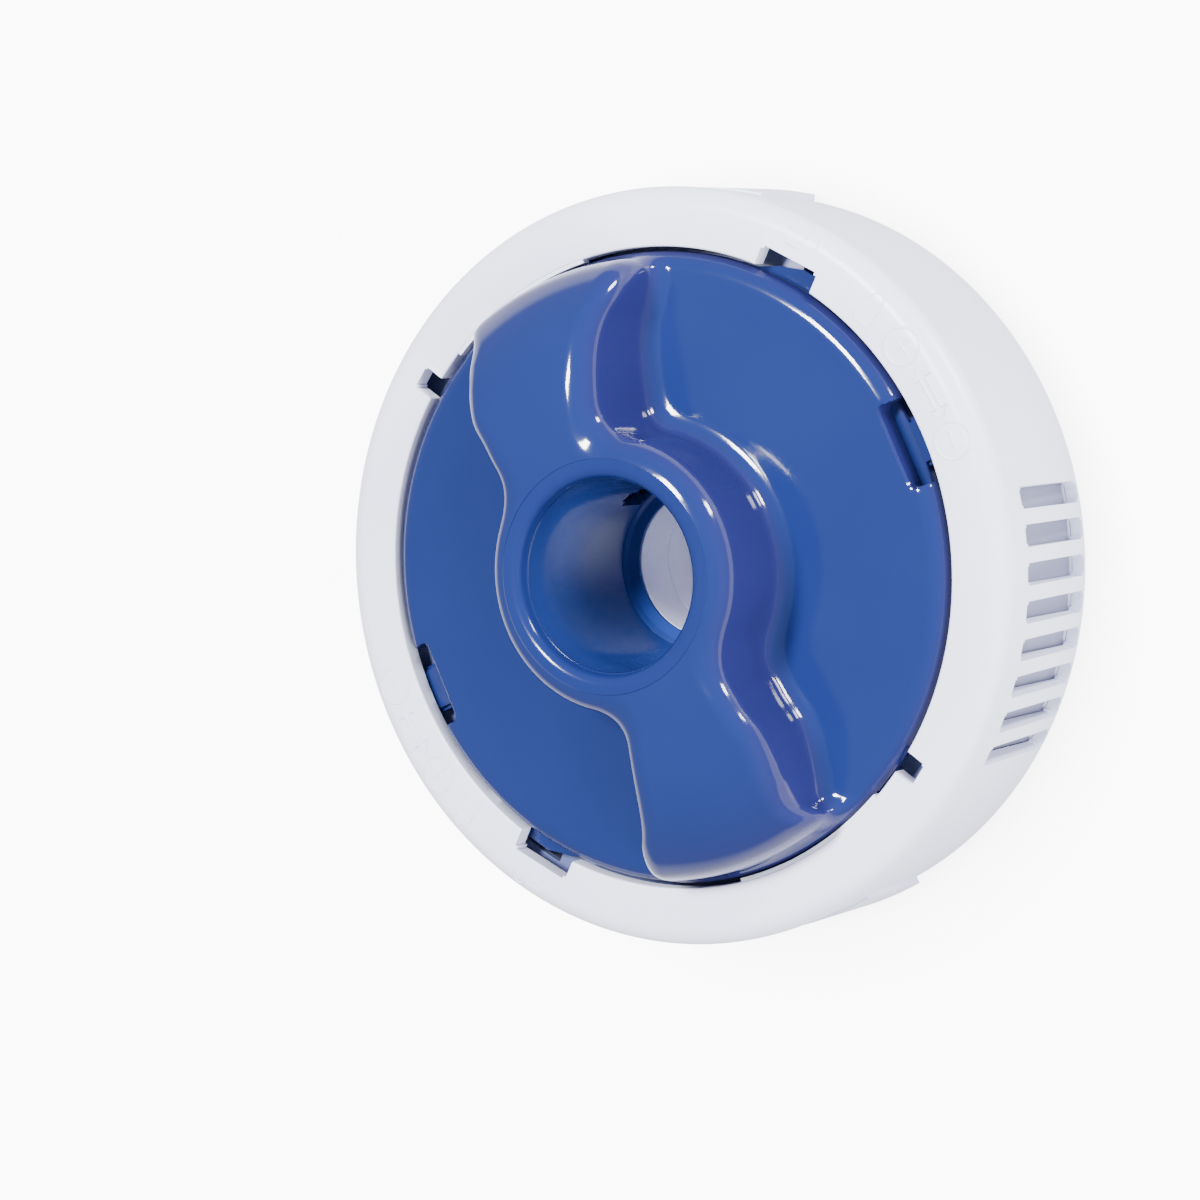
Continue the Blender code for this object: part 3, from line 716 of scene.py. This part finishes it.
def make_marks():
    """Raised signs on the rim: open and closed padlock, plus, arrow and minus."""
    ring = arc((0, 0), 4.0, 0, 360, 28)
    lock = [(-2.7, -2.2), (2.7, -2.2), (2.7, 2.2), (-2.7, 2.2), (-2.7, -2.2)]
    shackle = [(2.7, -1.4), (3.4, -1.4)] + arc((3.4, 0), 1.4, -90, 90, 8) + [(2.7, 1.4)]
    open_lock = [(-1.5, -2.1), (1.6, -2.1), (1.6, 2.1), (-1.5, 2.1), (-1.5, -2.1)]
    open_shackle = [(1.0, -2.1)] + arc((1.2, -4.0), 1.5, 90, -90, 8) + [(0.2, -5.4)]
    reach = 6.0
    neck = reach - 2.4
    shafts = [[(side, -neck), (side, neck)] for side in (-0.7, 0.7)]
    heads = [[(0.7, end * neck), (2.2, end * neck), (0, end * reach), (-2.2, end * neck), (-0.7, end * neck)]
             for end in (-1, 1)]
    bm = bmesh.new()
    for half in (0.0, HALF_TURN):
        add_ridge(bm, [mark(half + 47.5, ring), mark(half + 47.5, [(0, -2.2), (0, 2.2)]),
                       mark(half + 47.5, [(-2.2, 0), (2.2, 0)])])
        add_ridge(bm, [mark(half + 30.3, ring), mark(half + 30.3, [(0, -2.0), (0, 2.0)])])
        add_ridge(bm, [mark(half + 38.6, stroke) for stroke in shafts + heads])
        add_ridge(bm, [mark(half + 55.6, lock, 75.0), mark(half + 55.6, shackle, 75.0)])
        add_ridge(bm, [mark(half + 72.7, open_lock, 78.2), mark(half + 72.7, open_shackle, 78.2)])
    add_piece("rim_marks", bm, WHITE, "housing", "white_plastic", sharp=60.0)


def make_rear_wall():
    edge = BARREL_INNER - 0.2
    outline = [(HUB_RADIUS, HUB_TOP), (HUB_RADIUS, GROOVE_Z[1]), (GROOVE_RADIUS, GROOVE_Z[1])]
    outline += [(GROOVE_RADIUS, GROOVE_Z[0]), (HUB_RADIUS, GROOVE_Z[0]), (HUB_RADIUS, SOCKET_TOP)]
    outline += [(SOCKET_WALL, SOCKET_TOP), (SOCKET_WALL, REAR_PLATE), (edge, REAR_PLATE), (edge, 0)]
    outline += [(70.0, 0), (69.4, 0.6), (52.6, 0.6), (52.0, 0)]
    outline += [(SOCKET_RADIUS, 0), (SOCKET_RADIUS, SOCKET_DEPTH), (BORE_RADIUS, SOCKET_DEPTH)]
    outline = softened(outline + [(BORE_RADIUS, HUB_TOP)], 0.25)
    wall = add_piece("back_plate", turned(outline), WHITE, "housing", "white_plastic", "rear_wall")
    ribs = bmesh.new()
    for index in range(6):
        reach = (SOCKET_WALL - 1, TRAY_RADIUS - 3)
        add_block(ribs, 30 + index * 60, reach, 2.4, (1.5, TRAY_Z[0] - GAP), 0.3, "X")
    boolean(wall, ribs, "UNION")
    smooth(wall, 30.0)


def make_adapter():
    rebate, top = SOCKET_DEPTH - 2.0, SOCKET_DEPTH - 0.1
    outline = [(BORE_RADIUS, top), (BORE_RADIUS + 1.4, top), (BORE_RADIUS + 1.4, rebate)]
    outline += [(SOCKET_RADIUS - GAP, rebate), (SOCKET_RADIUS - GAP, 0.6), (BORE_RADIUS, 0.6)]
    outline = softened(outline, 0.2)
    ring = add_piece("adapter", turned(outline), WHITE, "housing", "white_plastic", "inlet_adapter")
    slots = bmesh.new()
    for angle in both_sides(90.0):
        add_block(slots, angle, (BORE_RADIUS + 1.5, SOCKET_RADIUS - 1.8), 3.0, (-1.0, 3.0), 0.4)
    boolean(ring, slots)
    smooth(ring)
    outline = rectangle(BORE_RADIUS + 1.7, SOCKET_RADIUS - GAP, SOCKET_DEPTH - 1.7, SOCKET_DEPTH - GAP)
    add_piece("adapter_washer", turned(softened(outline, 0.3)), RUBBER, "housing", "seal_rubber",
              "adapter_gasket")


def make_dosing_gear():
    inner = SKIRT_RADIUS - SKIRT_WALL
    outline = [(SKIRT_RADIUS, SKIRT_TOP), (SKIRT_RADIUS, REAR_PLATE + GAP), (inner, REAR_PLATE + GAP)]
    outline += [(inner, SKIRT_TOP - FLANGE), (FLANGE_RADIUS, SKIRT_TOP - FLANGE), (FLANGE_RADIUS, SKIRT_TOP)]
    skirt = add_piece("dosing_skirt", turned(softened(outline, 0.4)), INNER_WHITE_PAINTED_SHADE, "dosing_gear",
                      "white_plastic", "dosing_ring")
    cuts = bmesh.new()
    for centre in both_sides(WINDOW_SHIFT):
        add_sector(cuts, centre - WINDOW_HALF, centre + WINDOW_HALF, (inner - 3, SKIRT_RADIUS + 3), WINDOW_Z)
    keyway = (SKIRT_TOP - FLANGE - 1, SKIRT_TOP + 1)
    for angle in both_sides(KEY_ANGLE):
        add_block(cuts, angle, (FLANGE_RADIUS - 3, KEY_RADIUS + 0.5), KEY_WIDTH + 0.8, keyway, 0.5)
    for half in (0.0, HALF_TURN):
        add_sector(cuts, RELIEF_ANGLES[0] + half, RELIEF_ANGLES[1] + half, RELIEF, keyway)
    boolean(skirt, cuts)
    smooth(skirt)
    outline = softened(rectangle(*LUG_RING, *LUG_RING_Z), 0.5)
    ring = add_piece("lug_ring", turned(outline), BLUE_WITH_PAINTED_WALL_SHADE, "dosing_gear", "blue_plastic", "bayonet_ring")
    lug_z = (LUG_RING_Z[1] - LUG_THICKNESS, LUG_RING_Z[1] - 0.1)
    blocks = bmesh.new()
    for angle in both_sides(POCKET_ANGLE):
        add_block(blocks, angle, (LUG_RING[1] - 2, LUG_REACH), LUG_WIDTH, lug_z, 0.9, "X")
    for angle in both_sides(KEY_ANGLE):
        depths = (LUG_RING_Z[0] - KEY_DEPTH, LUG_RING_Z[0] + 1)
        add_block(blocks, angle, (LUG_RING[0] + 0.2, KEY_RADIUS), KEY_WIDTH, depths, 0.6)
    for half in (0.0, HALF_TURN):
        add_prism(blocks, [(r, angle + half) for r, angle in reversed(CAM)], lug_z)
    boolean(ring, blocks, "UNION")
    smooth(ring)


def make_tray():
    outline = softened(rectangle(SOCKET_WALL + 0.5, TRAY_RADIUS, *TRAY_Z), 0.4)
    tray = add_piece("tray", turned(outline), INNER_WHITE_PAINTED_SHADE, "housing", "white_plastic", "tablet_tray")
    slots = bmesh.new()
    through = (TRAY_Z[0] - 1, TRAY_Z[1] + 1)
    for index in range(20):
        add_block(slots, 9 + index * 18, (54, 70), 4.0, through, 1.9)
    for index in range(12):
        add_block(slots, 15 + index * 30, (34, 48), 4.0, through, 1.9)
    boolean(tray, slots)
    smooth(tray)


def make_tablets():
    number = 0
    for half in (0.0, HALF_TURN):
        for angle in TABLET_ANGLES:
            number += 1
            base = TRAY_Z[1] + GAP
            crown = base + TABLET_HEIGHT
            side = [(0, crown), (TABLET_RADIUS - 3.0, crown - 0.35), (TABLET_RADIUS, crown - 2.2)]
            side += [(TABLET_RADIUS, base + 2.2), (TABLET_RADIUS - 3.0, base + 0.35), (0, base)]
            bm = turned(softened(side, 1.0, 4), 72)
            turn_by = math.radians(angle + half)
            spot = (TABLET_RING * math.cos(turn_by), TABLET_RING * math.sin(turn_by), 0)
            bmesh.ops.translate(bm, vec=spot, verts=bm.verts)
            add_piece(f"tablet_{number}", bm, CHALK, "housing", "chlorine_tablet",
                      f"chlorine_tablet_{number}")


make_cap()
make_throat()
make_bush()
make_shell()
make_marks()
make_rear_wall()
make_adapter()
make_dosing_gear()
make_tray()
make_tablets()


# ---------------------------------------------------------------- stage, lights and camera

# Metres; the floor glows from BRIGHT_RADIUS outwards and is dimmed under and round the object, a painted
# contact shadow
CENTRE = Vector((0, 0, 0.03))
LIGHT_DISTANCE = 1.2
DIM_RADIUS, BRIGHT_RADIUS = 0.060, 0.095
LIT_GLOW, SEEN_GLOW = 0.7, 9.0


def make_floor():
    """White floor: bright as a backdrop, softer as a source of light on the object, with a painted contact
    shadow where its glow fades under and round the object.
    """
    bm = bmesh.new()
    bmesh.ops.create_grid(bm, x_segments=1, y_segments=1, size=6000.0)
    floor = bare_object("floor", bm)
    mat, nodes, links, shader = new_material("studio_floor")
    coords = nodes.new("ShaderNodeTexCoord")
    cloud = noise(nodes, links, coords, 1.5)
    colour = ramp(nodes, links, cloud.outputs["Fac"], [(0.3, (0.40, 0.40, 0.41)), (0.7, (0.43, 0.43, 0.44))])
    links.new(colour.outputs["Color"], shader.inputs["Base Color"])
    shader.inputs["Roughness"].default_value = 0.85
    shader.inputs["Emission Color"].default_value = (1.0, 1.0, 1.0, 1.0)
    reach = nodes.new("ShaderNodeVectorMath")
    reach.operation = "LENGTH"
    links.new(coords.outputs["Object"], reach.inputs[0])
    # Painted contact shadow: the floor's glow drops to a tenth inside DIM_RADIUS and rises to full at
    # BRIGHT_RADIUS
    glow_with_painted_shadow = nodes.new("ShaderNodeMapRange")
    glow_with_painted_shadow.interpolation_type = "SMOOTHSTEP"
    glow_with_painted_shadow.inputs["From Min"].default_value = DIM_RADIUS
    glow_with_painted_shadow.inputs["From Max"].default_value = BRIGHT_RADIUS
    glow_with_painted_shadow.inputs["To Min"].default_value = 0.1
    links.new(reach.outputs["Value"], glow_with_painted_shadow.inputs["Value"])
    paths = nodes.new("ShaderNodeLightPath")
    seen = grey_range(nodes, links, paths.outputs["Is Camera Ray"], LIT_GLOW, SEEN_GLOW)
    strength = nodes.new("ShaderNodeMath")
    strength.operation = "MULTIPLY"
    links.new(glow_with_painted_shadow.outputs["Result"], strength.inputs[0])
    links.new(seen.outputs["Result"], strength.inputs[1])
    links.new(strength.outputs["Value"], shader.inputs["Emission Strength"])
    floor.data.materials.append(mat)


def softbox(name, direction, long_axis, size, power, mirrored=True):
    """Rectangular light facing the object from a direction, with its longer side along long_axis.

    A light that is not mirrored leaves no highlight on the plastic.
    """
    light = bpy.data.lights.new(name, "AREA")
    light.shape = "RECTANGLE"
    light.size, light.size_y = size
    light.energy = power
    back = Vector(direction).normalized()
    tall = (Vector(long_axis) - Vector(long_axis).project(back)).normalized()
    turn = Matrix((tall.cross(back), tall, back)).transposed()
    obj = bpy.data.objects.new(name, light)
    obj.matrix_world = Matrix.Translation(CENTRE + back * LIGHT_DISTANCE) @ turn.to_4x4()
    obj.visible_glossy = mirrored
    bpy.context.scene.collection.objects.link(obj)


def make_world():
    world = bpy.data.worlds.new("studio")
    world.use_nodes = True
    background = world.node_tree.nodes["Background"]
    background.inputs["Color"].default_value = (0.82, 0.87, 1.0, 1.0)
    background.inputs["Strength"].default_value = 0.62
    bpy.context.scene.world = world


def make_camera():
    """Long lens from above the cap, rolled so that the object's +Y points up the picture."""
    location = Vector((0.4106, 0.1216, 0.7674))
    forward = Vector((-0.5005, -0.1542, -0.8519)).normalized()
    up = Vector((-0.1725, 0.9821, -0.0764))
    right = forward.cross(up).normalized()
    up = right.cross(forward)
    camera = bpy.data.cameras.new("camera")
    camera.lens = 116.5
    camera.sensor_width = 36.0
    camera.clip_start = 0.05
    obj = bpy.data.objects.new("camera", camera)
    turn = Matrix((right, up, -forward)).transposed()
    obj.matrix_world = Matrix.Translation(location) @ turn.to_4x4()
    bpy.context.scene.collection.objects.link(obj)
    bpy.context.scene.camera = obj


make_camera()
make_world()
make_floor()
softbox("softbox_left", (-0.222, 0.276, 0.934), (0.545, 0.839, 0), (0.17, 0.36), 43.5)
softbox("softbox_right", (0.61, 0.77, 0.22), (0, 0, 1), (0.18, 0.27), 18)
softbox("fill_right", (0.86, -0.20, 0.42), (0, 1, 0), (0.8, 1.1), 30, mirrored=False)
